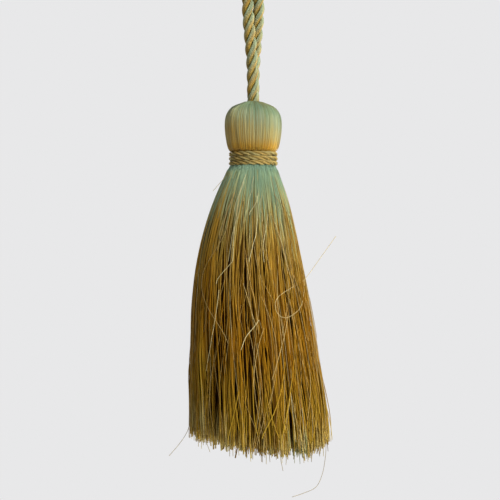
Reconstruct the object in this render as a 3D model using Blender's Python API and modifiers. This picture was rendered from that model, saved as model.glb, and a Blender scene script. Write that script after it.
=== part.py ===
"""Hanging tassel: a folded yarn bundle, a binding wound round its neck, and a twisted loop.

Metres, +Z up. The origin is the underside of the loop's top, where a hook or peg carries
the tassel, and everything hangs below it. The front of the tassel faces -Y.
"""

import math
import random

import bmesh
import bpy
from mathutils import Vector

MM = 0.001

# Driving dimensions
LOOP_DROP = 60 * MM  # hook to the top of the head
HEAD_HEIGHT = 12.9 * MM  # top of the head to the first turn of the binding
BINDING_HEIGHT = 3.5 * MM  # the three turns together
BODY_LENGTH = 91 * MM  # top of the head to the lowest tips of the skirt
BINDING_RADIUS = 6.3 * MM  # outside of the turns
CLEARANCE = 0.3 * MM  # between pieces that rest on each other

# The hanging cord and the binding are the same Z-laid cord of three plies in two sizes
CORD_DIAMETER = 3.0 * MM
CORD_LAY = 10.4 * MM  # length of one full turn of a ply
BINDING_CORD_DIAMETER = 1.1 * MM
BINDING_CORD_LAY = 6.0 * MM
BINDING_TURNS = 3
BINDING_STEP_ANGLE = 60  # degrees round the back over which a turn steps down to the next
BINDING_POINT_ANGLE = 15
PLIES = 3
STEPS_PER_LAY = 6

# One ply's share of a cord's outline: (turn from the ply's crest in degrees, share of the radius)
PLY_OUTLINE = ((-60, 0.64), (-30, 0.88), (0, 1.0), (30, 0.88))

# Heights that follow from the driving dimensions
HEAD_TOP = -LOOP_DROP
NECK_TOP = HEAD_TOP - HEAD_HEIGHT
NECK_BOTTOM = NECK_TOP - BINDING_HEIGHT
NECK_RADIUS = BINDING_RADIUS - BINDING_CORD_DIAMETER - CLEARANCE

# The socket in the head's top that the loop's two ends stand in, one behind the other
SOCKET_DEPTH = 1.4 * MM
SOCKET_HALF_LENGTH = 3.5 * MM
SOCKET_HALF_WIDTH = 1.85 * MM

# The yarn bundle's outline above the skirt: (depth below the head's top, radius)
HEAD_OUTLINE = (
    (0.2 * MM, 3.6 * MM),
    (0.0 * MM, 4.0 * MM),
    (0.7 * MM, 5.0 * MM),
    (2.0 * MM, 6.4 * MM),
    (3.5 * MM, 7.15 * MM),
    (5.6 * MM, 7.5 * MM),
    (7.8 * MM, 7.4 * MM),
    (9.8 * MM, 7.05 * MM),
    (11.4 * MM, 6.65 * MM),
    (12.5 * MM, 6.25 * MM),
)
SHOULDER_DEPTH = 21.5 * MM
SHOULDER_RADIUS = 7.9 * MM
SHOULDER_OUTLINE = (
    (16.8 * MM, 6.0 * MM),
    (19.0 * MM, 7.0 * MM),
    (SHOULDER_DEPTH, SHOULDER_RADIUS),
)

# Yarn ribs round the head
RIBS = 32
RIB_RISE = 0.16 * MM
RIB_FADE = 2 * MM  # outwards from the neck, where the binding presses the ribs flat
PROFILE_STEPS = 2 * RIBS

# The skirt's outline: (depth below the head's top, radius)
SKIRT_OUTLINE = (
    (SHOULDER_DEPTH, SHOULDER_RADIUS),
    (26 * MM, 9.8 * MM),
    (35 * MM, 12.2 * MM),
    (45 * MM, 13.9 * MM),
    (55 * MM, 15.4 * MM),
    (65 * MM, 16.5 * MM),
    (75 * MM, 17.3 * MM),
    (85 * MM, 17.9 * MM),
    (BODY_LENGTH, 18.0 * MM),
)
LOCKS = 210
LOCK_SIDES = 3
LOCK_SEGMENTS = 5
ROOT_DEPTH = 1.2 * MM  # how far a lock runs up inside the shoulder
LOCK_ROOT_RADIUS = 0.4 * MM
LOCK_BELLY_RADIUS = 0.88 * MM
LOCK_TIP_RADIUS = 0.6 * MM
LOCK_BELLY_PLACE = 0.55  # share of the way down
LOCK_POINT_SPREAD = 1.15  # above 1, a lock's points lie closer together near its root
LOCK_WANDER = 0.3 * MM  # how far a tip strays from its even place
HEM_ROUNDING = 3.6 * MM  # the outermost tips end this much above the middle ones
HEM_ROUNDING_POWER = 3  # the higher, the flatter the middle of the hem
HEM_UNEVEN = 1.6 * MM
GOLDEN_ANGLE = math.pi * (3 - math.sqrt(5))

# One leg of the loop from the head up: (height, turn about the axis in degrees, distance from the axis)
LEG_SPACING = CORD_DIAMETER / 2 + CLEARANCE / 2
LOOP_RADIUS = 6.5 * MM
LOOP_CENTRE = CORD_DIAMETER / 2 - LOOP_RADIUS
LEG_ROUTE = (
    (HEAD_TOP - SOCKET_DEPTH + CLEARANCE, 0, LEG_SPACING),
    (-56 * MM, 3, LEG_SPACING),
    (-50 * MM, 10, LEG_SPACING),
    (-44 * MM, 31, LEG_SPACING),
    (-38.5 * MM, 58, LEG_SPACING),
    (-33 * MM, 82, LEG_SPACING),
    (-27 * MM, 90, 1.9 * MM),
    (-21 * MM, 90, 3.0 * MM),
    (-15 * MM, 90, 4.7 * MM),
    (-9.5 * MM, 90, 6.1 * MM),
    (LOOP_CENTRE, 90, LOOP_RADIUS),
)
LOOP_ARC_ANGLES = (36, 72)  # from level, on the way up to the loop's top

YARN_COLOUR = (0.33, 0.25, 0.09)
CORD_COLOUR = (0.38, 0.32, 0.15)


def clear_scene():
    for scene_object in list(bpy.data.objects):
        bpy.data.objects.remove(scene_object)


def new_collection(name):
    made = bpy.data.collections.new(name)
    bpy.context.scene.collection.children.link(made)
    return made


def yarn_material(name, colour):
    made = bpy.data.materials.new(name)
    made.use_nodes = True
    shader = made.node_tree.nodes["Principled BSDF"]
    shader.inputs["Base Color"].default_value = (*colour, 1)
    shader.inputs["Roughness"].default_value = 0.45
    shader.inputs["Metallic"].default_value = 0.0
    return made


def as_guide(helper):
    helper.hide_render = True
    helper.display_type = "WIRE"
    return helper


def between(table, depth):
    """The second column of a table at a depth, eased smoothly through its rows."""
    rows = [table[0], *table, table[-1]]
    for i in range(1, len(rows) - 2):
        low, high = rows[i], rows[i + 1]
        if depth <= high[0] or i == len(rows) - 3:
            break
    share = (depth - low[0]) / (high[0] - low[0])
    before, after = rows[i - 1][1], rows[i + 2][1]
    return catmull_rom(before, low[1], high[1], after, share)


def catmull_rom(before, start, end, after, share):
    """A point on the smooth curve from start to end."""
    return 0.5 * (
        2 * start
        + (end - before) * share
        + (2 * before - 5 * start + 4 * end - after) * share**2
        + (3 * start - before - 3 * end + after) * share**3
    )


def smooth_route(points, step):
    """The route again as evenly spaced points on one smooth curve through its own points."""
    rows = [2 * points[0] - points[1], *points, 2 * points[-1] - points[-2]]
    fine_steps = 24
    fine = [points[0]]
    for i in range(1, len(rows) - 2):
        for k in range(1, fine_steps + 1):
            fine.append(catmull_rom(*rows[i - 1 : i + 3], k / fine_steps))
    lengths = [(b - a).length for a, b in zip(fine, fine[1:])]
    count = max(2, round(sum(lengths) / step))
    spacing = sum(lengths) / count
    even = [fine[0]]
    travelled = 0.0
    for a, b, length in zip(fine, fine[1:], lengths):
        while len(even) < count and travelled + length >= spacing * len(even):
            even.append(a.lerp(b, (spacing * len(even) - travelled) / length))
        travelled += length
    even.append(fine[-1])
    return even


def poly_spline(curve, points, radii, tilts):
    spline = curve.splines.new("POLY")
    spline.points.add(len(points) - 1)
    for spline_point, place, radius, tilt in zip(spline.points, points, radii, tilts):
        spline_point.co = (*place, 1)
        spline_point.radius = radius
        spline_point.tilt = tilt
    return spline


def section_guide(name, outline, guides):
    """A closed flat outline that a curve is swept with, clockwise so that its faces point out."""
    curve = bpy.data.curves.new(name, "CURVE")
    curve.dimensions = "2D"
    curve.fill_mode = "NONE"
    points = [Vector((x, y, 0)) for x, y in reversed(outline)]
    spline = poly_spline(curve, points, [1] * len(points), [0] * len(points))
    spline.use_cyclic_u = True
    guide = bpy.data.objects.new(name, curve)
    guides.objects.link(guide)
    return as_guide(guide)


def swept_curve(name, section, collection):
    curve = bpy.data.curves.new(name, "CURVE")
    curve.dimensions = "3D"
    curve.bevel_mode = "OBJECT"
    curve.bevel_object = section
    curve.use_fill_caps = True
    swept = bpy.data.objects.new(name, curve)
    collection.objects.link(swept)
    return swept


def plied_outline(diameter):
    """The outline of a cord of soft plies, with a valley between each pair."""
    outline = []
    for ply in range(PLIES):
        for turn, share in PLY_OUTLINE:
            angle = math.radians(360 / PLIES * ply + turn)
            radius = diameter / 2 * share
            outline.append((radius * math.cos(angle), radius * math.sin(angle)))
    return outline


def twisted_cord(name, route, diameter, lay, collection, guides):
    """A Z-laid cord along a route: its outline turns once in each lay."""
    section = section_guide(name + "_section", plied_outline(diameter), guides)
    cord = swept_curve(name, section, collection)
    points = smooth_route(route, lay / STEPS_PER_LAY)
    turn = 2 * math.pi / STEPS_PER_LAY
    tilts = [i * turn for i in range(len(points))]
    poly_spline(cord.data, points, [1] * len(points), tilts)
    return cord


def loop_route():
    """The whole loop: one leg up, round the top, and the same leg turned half round and down."""
    leg = []
    for height, turn, distance in LEG_ROUTE:
        angle = math.radians(turn)
        leg.append(Vector((-distance * math.sin(angle), -distance * math.cos(angle), height)))
    for degrees in LOOP_ARC_ANGLES:
        angle = math.radians(degrees)
        along, up = LOOP_RADIUS * math.cos(angle), LOOP_RADIUS * math.sin(angle)
        leg.append(Vector((-along, 0, LOOP_CENTRE + up)))
    top = Vector((0, 0, LOOP_CENTRE + LOOP_RADIUS))
    other_leg = [Vector((-place.x, -place.y, place.z)) for place in reversed(leg)]
    return [*leg, top, *other_leg]


def binding_route():
    """Level turns down the neck, each stepping to the next at the back, where both ends lie."""
    pitch = (BINDING_HEIGHT - BINDING_CORD_DIAMETER) / (BINDING_TURNS - 1)
    radius = BINDING_RADIUS - BINDING_CORD_DIAMETER / 2
    first = NECK_TOP - BINDING_CORD_DIAMETER / 2
    level_angle = 360 - BINDING_STEP_ANGLE
    route = []
    for turned in range(0, 360 * BINDING_TURNS - BINDING_STEP_ANGLE + 1, BINDING_POINT_ANGLE):
        turns, within = divmod(turned, 360)
        step = max(0, within - level_angle) / BINDING_STEP_ANGLE
        height = first - pitch * (turns + step**2 * (3 - 2 * step))
        angle = math.radians(turned - level_angle / 2)
        route.append(Vector((radius * math.sin(angle), -radius * math.cos(angle), height)))
    return route


def head_outline():
    """(radius, height) down the outside of the yarn from the socket's floor to the shoulder's."""
    outline = [(0, HEAD_TOP - SOCKET_DEPTH), (SOCKET_HALF_LENGTH, HEAD_TOP - SOCKET_DEPTH)]
    outline += [(radius, HEAD_TOP - depth) for depth, radius in HEAD_OUTLINE]
    outline += [(NECK_RADIUS, NECK_TOP), (NECK_RADIUS, NECK_BOTTOM)]
    outline += [(radius, HEAD_TOP - depth) for depth, radius in SHOULDER_OUTLINE]
    outline.append((0, HEAD_TOP - SHOULDER_DEPTH))
    return outline


def turned_yarn(name, collection):
    """The head, neck and shoulder as one turned solid, with its yarn raised as ribs."""
    outline = head_outline()
    mesh = bpy.data.meshes.new(name + "_outline")
    points = [(radius, 0, height) for radius, height in outline]
    mesh.from_pydata(points, [(i, i + 1) for i in range(len(points) - 1)], [])
    turned = bpy.data.objects.new(name + "_turning", mesh)
    collection.objects.link(turned)
    screw = turned.modifiers.new("Turn", "SCREW")
    screw.steps = PROFILE_STEPS
    screw.render_steps = PROFILE_STEPS
    screw.use_merge_vertices = True
    screw.merge_threshold = 0.00001
    graph = bpy.context.evaluated_depsgraph_get()
    solid = bpy.data.meshes.new_from_object(turned.evaluated_get(graph))
    bpy.data.objects.remove(turned)
    raise_ribs(solid)
    narrow_socket(solid)
    head = bpy.data.objects.new(name, solid)
    collection.objects.link(head)
    return head


def raise_ribs(mesh):
    """Every second line of points stands proud, most where the yarn is not bound."""
    for vertex in mesh.vertices:
        radius = math.hypot(vertex.co.x, vertex.co.y)
        if radius <= NECK_RADIUS:
            continue
        step = round(math.atan2(vertex.co.y, vertex.co.x) / (2 * math.pi) * PROFILE_STEPS)
        rise = RIB_RISE if step % 2 else -RIB_RISE
        rise *= min(1, (radius - NECK_RADIUS) / RIB_FADE)
        vertex.co.x *= 1 + rise / radius
        vertex.co.y *= 1 + rise / radius


def narrow_socket(mesh):
    """The round socket becomes an oval, no wider than one leg of the loop."""
    narrowing = SOCKET_HALF_WIDTH / SOCKET_HALF_LENGTH
    rim_width = 2 * MM
    for vertex in mesh.vertices:
        radius = math.hypot(vertex.co.x, vertex.co.y)
        outward = (radius - SOCKET_HALF_LENGTH) / rim_width
        if vertex.co.z < NECK_TOP or outward > 1:
            continue
        vertex.co.x *= narrowing + (1 - narrowing) * max(0, outward)


def lock_path(index, chance):
    """One lock of the skirt: its points, thicknesses and turns from the shoulder to the hem.

    The locks are spread evenly over the round by the golden angle, and keep their places
    in the round as it widens, so that no two meet.
    """
    share = math.sqrt((index + 0.5) / LOCKS)
    angle = index * GOLDEN_ANGLE
    stray_angle = chance.uniform(0, 2 * math.pi)
    stray = LOCK_WANDER * chance.random()
    rounding = HEM_ROUNDING * share**HEM_ROUNDING_POWER
    length = BODY_LENGTH - rounding - HEM_UNEVEN * chance.random()
    points, radii, tilts = [], [], []
    for i in range(LOCK_SEGMENTS + 2):
        if i == 0:
            down = 0
            depth = SHOULDER_DEPTH - ROOT_DEPTH
        else:
            down = ((i - 1) / LOCK_SEGMENTS) ** LOCK_POINT_SPREAD
            depth = SHOULDER_DEPTH + (length - SHOULDER_DEPTH) * down
        outline = between(SKIRT_OUTLINE, max(depth, SHOULDER_DEPTH))
        thickness = lock_thickness(down)
        reach = (outline - thickness) * share
        drift = stray * down
        x = reach * math.cos(angle) + drift * math.cos(stray_angle)
        y = reach * math.sin(angle) + drift * math.sin(stray_angle)
        points.append(Vector((x, y, HEAD_TOP - depth)))
        radii.append(thickness)
        tilts.append(angle)
    return points, radii, tilts


def lock_thickness(down):
    """A lock's radius at a share of its way down: it opens below the root and closes at the tip."""
    if down < LOCK_BELLY_PLACE:
        opening = math.sin(math.pi / 2 * down / LOCK_BELLY_PLACE)
        return LOCK_ROOT_RADIUS + (LOCK_BELLY_RADIUS - LOCK_ROOT_RADIUS) * opening
    closing = (down - LOCK_BELLY_PLACE) / (1 - LOCK_BELLY_PLACE)
    return LOCK_BELLY_RADIUS + (LOCK_TIP_RADIUS - LOCK_BELLY_RADIUS) * closing**2


def skirt_locks(name, collection, guides):
    """All the locks as one hidden mesh of separate closed bodies, which the head is joined to."""
    corners = [2 * math.pi * k / LOCK_SIDES for k in range(LOCK_SIDES)]
    section = section_guide(name + "_section", [(math.cos(a), math.sin(a)) for a in corners], guides)
    locks = swept_curve(name + "_curves", section, collection)
    chance = random.Random(7)
    for index in range(LOCKS):
        poly_spline(locks.data, *lock_path(index, chance))
    graph = bpy.context.evaluated_depsgraph_get()
    mesh = bpy.data.meshes.new_from_object(locks.evaluated_get(graph))
    bpy.data.objects.remove(locks)
    closed = bmesh.new()
    closed.from_mesh(mesh)
    bmesh.ops.remove_doubles(closed, verts=closed.verts, dist=0.000001)
    bmesh.ops.recalc_face_normals(closed, faces=closed.faces)
    closed.to_mesh(mesh)
    closed.free()
    skirt = bpy.data.objects.new(name, mesh)
    guides.objects.link(skirt)
    return as_guide(skirt)


def build_yarn_bundle(collection, guides):
    """The folded yarn: head, neck and shoulder, with the skirt's locks fused in at their roots."""
    head = turned_yarn("yarn_bundle", collection)
    join = head.modifiers.new("Fuse locks", "BOOLEAN")
    join.operation = "UNION"
    join.object = skirt_locks("skirt_locks", collection, guides)
    head.data.materials.append(yarn_material("yarn", YARN_COLOUR))
    return head


def build_neck_binding(collection, guides):
    binding = twisted_cord(
        "neck_binding",
        binding_route(),
        BINDING_CORD_DIAMETER,
        BINDING_CORD_LAY,
        collection,
        guides,
    )
    binding.data.materials.append(yarn_material("binding_cord", CORD_COLOUR))
    return binding


def build_hanging_loop(collection, guides):
    loop = twisted_cord("hanging_loop", loop_route(), CORD_DIAMETER, CORD_LAY, collection, guides)
    loop.data.materials.append(yarn_material("loop_cord", CORD_COLOUR))
    return loop


def main():
    clear_scene()
    tassel = new_collection("Tassel")
    guides = new_collection("Guides")
    build_yarn_bundle(tassel, guides)
    build_neck_binding(tassel, guides)
    build_hanging_loop(tassel, guides)


main()
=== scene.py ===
# %% [markdown]
# # A hanging tassel of silky yarn
#
# The tassel has three pieces: a folded hank of fine thread, a thin cord wound round its neck, and a
# thicker cord that it hangs from. The model it is built around holds each of them as one simple
# solid. This script makes the threads, the plies and the colours that the eye sees, painted sheen
# and painted shade among them.

import math

import bpy
import numpy as np
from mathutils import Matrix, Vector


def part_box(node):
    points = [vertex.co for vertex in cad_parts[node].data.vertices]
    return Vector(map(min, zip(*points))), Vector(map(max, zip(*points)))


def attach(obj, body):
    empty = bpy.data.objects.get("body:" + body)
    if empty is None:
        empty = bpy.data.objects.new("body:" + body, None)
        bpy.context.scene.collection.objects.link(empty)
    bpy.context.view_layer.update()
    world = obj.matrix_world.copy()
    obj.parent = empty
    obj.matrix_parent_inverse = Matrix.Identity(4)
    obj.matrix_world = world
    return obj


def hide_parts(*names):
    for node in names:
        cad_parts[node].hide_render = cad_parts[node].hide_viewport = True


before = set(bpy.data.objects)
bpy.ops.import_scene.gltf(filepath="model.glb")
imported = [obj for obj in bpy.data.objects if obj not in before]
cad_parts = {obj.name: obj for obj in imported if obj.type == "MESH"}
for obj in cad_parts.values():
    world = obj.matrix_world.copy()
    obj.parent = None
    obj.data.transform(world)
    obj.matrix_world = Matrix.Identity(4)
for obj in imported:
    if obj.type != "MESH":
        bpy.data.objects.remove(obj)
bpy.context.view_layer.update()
MM = 0.001
print("nodes", sorted(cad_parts))

# %% [markdown]
# ## Sizes
#
# The main heights and widths are read from the solids, so the dressed tassel can't drift from them.
# In this script, depth means distance below the top of the head, as a maker would measure it.

# %% Sizes read from the solids
yarn_low, yarn_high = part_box("yarn_bundle")
binding_low, binding_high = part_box("neck_binding")
HEAD_TOP = yarn_high.z
HEM_DEPTH = HEAD_TOP - yarn_low.z
BINDING_TOP_DEPTH = HEAD_TOP - binding_high.z
BINDING_BOTTOM_DEPTH = HEAD_TOP - binding_low.z
BINDING_RADIUS = (binding_high.x - binding_low.x) / 2
for label, length in (
    ("head and neck", BINDING_BOTTOM_DEPTH),
    ("body", HEM_DEPTH),
    ("binding across", 2 * BINDING_RADIUS),
):
    print(f"{label}: {length / MM:.1f} mm")

# %% [markdown]
# ## Camera
#
# The photograph looks straight at the tassel from in front. A fairly long lens keeps the skirt from
# swelling towards the bottom, and one pixel of the photograph is 0.26 mm at the tassel's axis.

# %% Camera
PIXEL = 0.26 * MM
PHOTO_SIDE = 500
AXIS_PIXEL = 253.2  # from the left
HEAD_TOP_PIXEL = 102.5  # from the top
CAMERA_DISTANCE = 400 * MM
FILM_WIDTH = 36  # mm, as a lens's length is given


def from_photo(across, down, forward=0.0):
    """The place in the tassel's frame that a pixel of the photograph shows."""
    nearer = 1 - forward / CAMERA_DISTANCE
    middle = PHOTO_SIDE / 2
    x = (middle - AXIS_PIXEL + (across - middle) * nearer) * PIXEL
    z = HEAD_TOP - (middle - HEAD_TOP_PIXEL + (down - middle) * nearer) * PIXEL
    return x, -forward, z


camera_data = bpy.data.cameras.new("camera")
camera = bpy.data.objects.new("camera", camera_data)
bpy.context.scene.collection.objects.link(camera)
camera_x, _, camera_z = from_photo(PHOTO_SIDE / 2, PHOTO_SIDE / 2)
camera.location = (camera_x, -CAMERA_DISTANCE, camera_z)
camera.rotation_euler = (math.pi / 2, 0, 0)
camera_data.sensor_width = FILM_WIDTH
camera_data.lens = FILM_WIDTH * CAMERA_DISTANCE / (PHOTO_SIDE * PIXEL)
camera_data.clip_start = 0.01
bpy.context.scene.camera = camera
print(f"lens {camera_data.lens:.0f} mm")

# %% [markdown]
# ## Smooth curves and chance
#
# Everything here is a thread that follows a soft curve. One helper reads a short table of sizes as a
# smooth curve. Another gives each thread its own slow wander, from a few random values that are joined
# smoothly, because yarn bends gently and never jitters. The random numbers have a fixed seed.

# %% Smooth curves and wander
chance = np.random.default_rng(12)
WANDER_SIZE = 1.6  # makes up for what the joining evens out


def eased(table, at):
    """The second column of a table, read at these places on a smooth curve through its rows."""
    places, values = np.array(table, float).T
    slopes = np.gradient(values, places)
    row = np.clip(np.searchsorted(places, at) - 1, 0, len(places) - 2)
    width = places[row + 1] - places[row]
    t = np.clip((at - places[row]) / width, 0, 1)
    leave = (1 + 2 * t) * (1 - t) ** 2 * values[row] + t * (1 - t) ** 2 * width * slopes[row]
    arrive = t * t * (3 - 2 * t) * values[row + 1] + t * t * (t - 1) * width * slopes[row + 1]
    return leave + arrive


def wander(threads, points, bends):
    """For each thread a smooth random curve of about -1 to 1, with this many bends along it."""
    values = chance.normal(0, 0.5, (threads, bends + 3))
    along = np.linspace(0, bends, points)
    cell = np.minimum(along.astype(int), bends - 1)
    t = along - cell
    weights = (  # of the four nearest values: those of a cubic spline
        (1 - t) ** 3 / 6,
        (3 * t**3 - 6 * t**2 + 4) / 6,
        (-3 * t**3 + 3 * t**2 + 3 * t + 1) / 6,
        t**3 / 6,
    )
    return sum(weight * values[:, cell + k] for k, weight in enumerate(weights)) * WANDER_SIZE


def softly(at, start, end):
    """0 before start, 1 after end, and a soft rise between."""
    t = np.clip((at - start) / (end - start), 0, 1)
    return t * t * (3 - 2 * t)


print("a soft rise in five steps:", softly(np.linspace(0, 1, 5), 0, 1))

# %% [markdown]
# ## Threads as meshes
#
# A thread could be a curve with a bevel, one object each, but a tassel has thousands. Here the centre
# lines of many threads are one array, and one helper turns all of them into the tubes of one mesh.
# Each thread also gets a random shade, which the materials read, and its own narrow column of the
# image map, so that a baked picture can hold its colours.

# %% What every point of a thread carries
MAP_ROWS = 4  # threads above each other in the map
SIDE_MARGIN = 0.05  # left free at each side of a thread, as a share of its column in the map
END_MARGIN = 0.01  # and above and below it, as a share of its row
CAP_HALF_WIDTH = 0.4  # of the small disk that each end gets in the map, as a share of a column
CAP_HALF_HEIGHT = 0.004  # and of a row


def mark(mesh, name, values, shape):
    """A value on every point of a mesh, which the materials read by its name."""
    attribute = mesh.attributes.new(name, "FLOAT", "POINT")
    spread = np.broadcast_to(values, shape).astype(np.float32)
    attribute.data.foreach_set("value", spread.ravel())


def map_threads(mesh, threads, points, sides):
    """Each thread gets a column of the map, as long as its share of the height."""
    columns = math.ceil(threads / MAP_ROWS)
    column, row = np.divmod(np.arange(threads), MAP_ROWS)
    step_u = np.array([0, 1, 1, 0]) + np.arange(sides)[:, None]
    step_v = np.array([0, 0, 1, 1]) + np.arange(points - 1)[:, None, None]
    across = SIDE_MARGIN + (1 - 2 * SIDE_MARGIN) * step_u / sides
    down = END_MARGIN + (1 - 2 * END_MARGIN) * step_v / (points - 1)
    u = (column[:, None, None, None] + across) / columns
    v = (row[:, None, None, None] + down) / MAP_ROWS
    u, v = (values.ravel() for values in np.broadcast_arrays(u, v))
    turn = 2 * np.pi * np.arange(sides) / sides
    cap_u = (column[:, None] + 0.5 + CAP_HALF_WIDTH * np.cos(turn)) / columns
    cap_height = CAP_HALF_HEIGHT * np.sin(turn)
    first_v = (row[:, None] + END_MARGIN / 2 + cap_height) / MAP_ROWS
    last_v = (row[:, None] + 1 - END_MARGIN / 2 + cap_height) / MAP_ROWS
    us = np.concatenate([u, cap_u[:, ::-1].ravel(), cap_u.ravel()])
    vs = np.concatenate([v, first_v[:, ::-1].ravel(), last_v.ravel()])
    layer = mesh.uv_layers.new(name="OFBake")
    layer.uv.foreach_set("vector", np.stack([us, vs], -1).astype(np.float32).ravel())


print(MAP_ROWS, "threads above each other in a map")

# %% Tubes round many centre lines
THREAD_SIDES = 3  # enough for a thread that is about a pixel wide


def unit(vectors):
    """Each vector divided by its own length."""
    return vectors / np.maximum(np.linalg.norm(vectors, axis=-1, keepdims=True), 1e-12)


def tubes(
    name,
    lines,
    radii,
    sides,
    shades,
    warmth=0.5,
    painted_shade=0.0,
    dye_shift=0.0,
    sideways=(0.83, 0.55, 0.05),
):
    """One mesh of tubes. lines is (threads, points, 3), and the other values spread over it.

    Each ring of points starts from the direction called sideways, which no thread may follow.
    """
    threads, points, _ = lines.shape
    along = unit(np.gradient(lines, axis=1))
    hint = np.broadcast_to(np.asarray(sideways, float), lines.shape)
    first = unit(hint - (hint * along).sum(-1, keepdims=True) * along)
    second = np.cross(along, first)
    turn = 2 * np.pi * np.arange(sides) / sides
    thick = np.broadcast_to(radii, (threads, points))[:, :, None, None]
    ring = first[:, :, None] * np.cos(turn)[:, None] + second[:, :, None] * np.sin(turn)[:, None]
    vertices = (lines[:, :, None] + ring * thick).reshape(-1, 3)

    number = np.arange(threads * points * sides).reshape(threads, points, sides)
    beside = np.roll(number, -1, axis=2)
    walls = np.stack([number[:, :-1], beside[:, :-1], beside[:, 1:], number[:, 1:]], -1)
    ends = np.concatenate([number[:, 0, ::-1], number[:, -1]])
    corners = np.concatenate([walls.ravel(), ends.ravel()])
    sizes = np.concatenate([np.full(walls.size // 4, 4), np.full(len(ends), sides)])

    mesh = bpy.data.meshes.new(name)
    mesh.vertices.add(len(vertices))
    mesh.vertices.foreach_set("co", vertices.astype(np.float32).ravel())
    mesh.loops.add(len(corners))
    mesh.loops.foreach_set("vertex_index", corners.astype(np.int32))
    mesh.polygons.add(len(sizes))
    mesh.polygons.foreach_set("loop_start", (np.cumsum(sizes) - sizes).astype(np.int32))
    mesh.update(calc_edges=True)
    mark(mesh, "thread_shade", np.asarray(shades, float)[:, None, None], number.shape)
    mark(mesh, "thread_warmth", np.atleast_2d(warmth)[:, :, None], number.shape)
    # painted shade: how far each point is darkened towards the painted shade colour
    mark(mesh, "thread_painted_shade", np.atleast_2d(painted_shade)[:, :, None], number.shape)
    depth = HEAD_TOP - lines[..., 2] + dye_shift
    mark(mesh, "dye_place", (depth / HEM_DEPTH)[:, :, None], number.shape)
    map_threads(mesh, threads, points, sides)
    mesh.shade_smooth()
    mesh.validate()

    made = bpy.data.objects.new(name, mesh)
    bpy.context.scene.collection.objects.link(made)
    print(f"{name}: {threads} threads, {sum(sizes - 2)} triangles")
    return made


print("a ring of", THREAD_SIDES, "points at each step down a thread")


# %% What every piece belongs to
def belongs(piece, material, slot, *nodes):
    """The piece wears its material, hangs with the tassel and stands for these simple solids."""
    piece.data.materials.append(material)
    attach(piece, "root")
    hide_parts(*nodes)
    return piece


print("every piece rides the body root")

# %% [markdown]
# ## Colour and shine of the yarn
#
# The yarn is one silky golden olive rayon, but it doesn't look like one colour. Where its threads face
# up, on the head's top and on the skirt just under the binding, light shines off them sage green, and
# that sheen is painted into a colour ramp that runs down the tassel. Threads differ a little from each
# other and along themselves. Threads that lie behind others get only light that has come through
# those, which makes them darker and warmer than a plain shader would show, so that shade is painted
# into their colour. Every material here needs that, so it is one node group with named inputs.

# %% Nodes, sums and mixes
def add_node(tree, kind, **settings):
    """A node of this kind, with its settings."""
    node = tree.nodes.new(kind)
    for key, value in settings.items():
        setattr(node, key, value)
    return node


def maths(tree, operation, a, b):
    """The result of one sum of sockets or numbers."""
    node = add_node(tree, "ShaderNodeMath", operation=operation)
    for socket, value in zip(node.inputs, (a, b)):
        if isinstance(value, bpy.types.NodeSocket):
            tree.links.new(value, socket)
        else:
            socket.default_value = value
    return node.outputs[0]


def mixed(tree, blend, share, a, b):
    """Two colours mixed, where share, a and b are sockets or values."""
    node = add_node(tree, "ShaderNodeMix", data_type="RGBA", blend_type=blend)
    for name, value in (("Factor", share), ("A", a), ("B", b)):
        socket = next(s for s in node.inputs if s.name == name and s.enabled)
        if isinstance(value, bpy.types.NodeSocket):
            tree.links.new(value, socket)
        else:
            socket.default_value = value
    return next(s for s in node.outputs if s.enabled)


print("helpers for nodes:", add_node.__name__, maths.__name__, mixed.__name__)

# %% Thread colour, a node group for every material
COLOUR_INPUTS = ("Dye and painted sheen", "Warm dye and painted shade", "Painted shade")
VALUE_INPUTS = ("Thread contrast", "Mottle", "Mottle size")
MOTTLE_STRETCH = (1, 1, 0.12)  # so that the mottles run down the threads


def thread_colour_group():
    """Gives a colour thread by thread, paler or warmer, mottled lengthwise, and darker inside as
    painted shade.
    """
    tree = bpy.data.node_groups.new("Thread colour", "ShaderNodeTree")
    for name in COLOUR_INPUTS:
        tree.interface.new_socket(name, in_out="INPUT", socket_type="NodeSocketColor")
    for name in VALUE_INPUTS:
        tree.interface.new_socket(name, in_out="INPUT", socket_type="NodeSocketFloat")
    tree.interface.new_socket("Colour", in_out="OUTPUT", socket_type="NodeSocketColor")
    given = add_node(tree, "NodeGroupInput").outputs
    result = add_node(tree, "NodeGroupOutput")
    shade = add_node(tree, "ShaderNodeAttribute", attribute_name="thread_shade").outputs["Fac"]
    warmth = add_node(tree, "ShaderNodeAttribute", attribute_name="thread_warmth").outputs["Fac"]
    painted_shade = add_node(tree, "ShaderNodeAttribute", attribute_name="thread_painted_shade").outputs["Fac"]

    place = add_node(tree, "ShaderNodeTexCoord")
    stretch = add_node(tree, "ShaderNodeMapping")
    stretch.inputs["Scale"].default_value = MOTTLE_STRETCH
    mottle = add_node(tree, "ShaderNodeTexNoise")
    mottle.inputs["Detail"].default_value = 2
    tree.links.new(place.outputs["Object"], stretch.inputs["Vector"])
    tree.links.new(stretch.outputs["Vector"], mottle.inputs["Vector"])
    tree.links.new(given["Mottle size"], mottle.inputs["Scale"])

    colour = mixed(tree, "MIX", warmth, given["Dye and painted sheen"], given["Warm dye and painted shade"])
    shade_off_mean = maths(tree, "SUBTRACT", shade, 0.5)
    by_thread = maths(tree, "MULTIPLY", shade_off_mean, given["Thread contrast"])
    mottle_off_mean = maths(tree, "SUBTRACT", mottle.outputs["Fac"], 0.5)
    by_place = maths(tree, "MULTIPLY", mottle_off_mean, given["Mottle"])
    level = maths(tree, "ADD", maths(tree, "ADD", by_thread, by_place), 1.0)
    # painted shade: threads that lie inside or between others take the painted shade colour
    colour = mixed(tree, "MIX", painted_shade, colour, given["Painted shade"])
    colour = mixed(tree, "MULTIPLY", 1.0, colour, level)
    tree.links.new(colour, result.inputs["Colour"])
    return tree


THREAD_COLOUR = thread_colour_group()
print("group inputs:", [item.name for item in THREAD_COLOUR.interface.items_tree])


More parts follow.
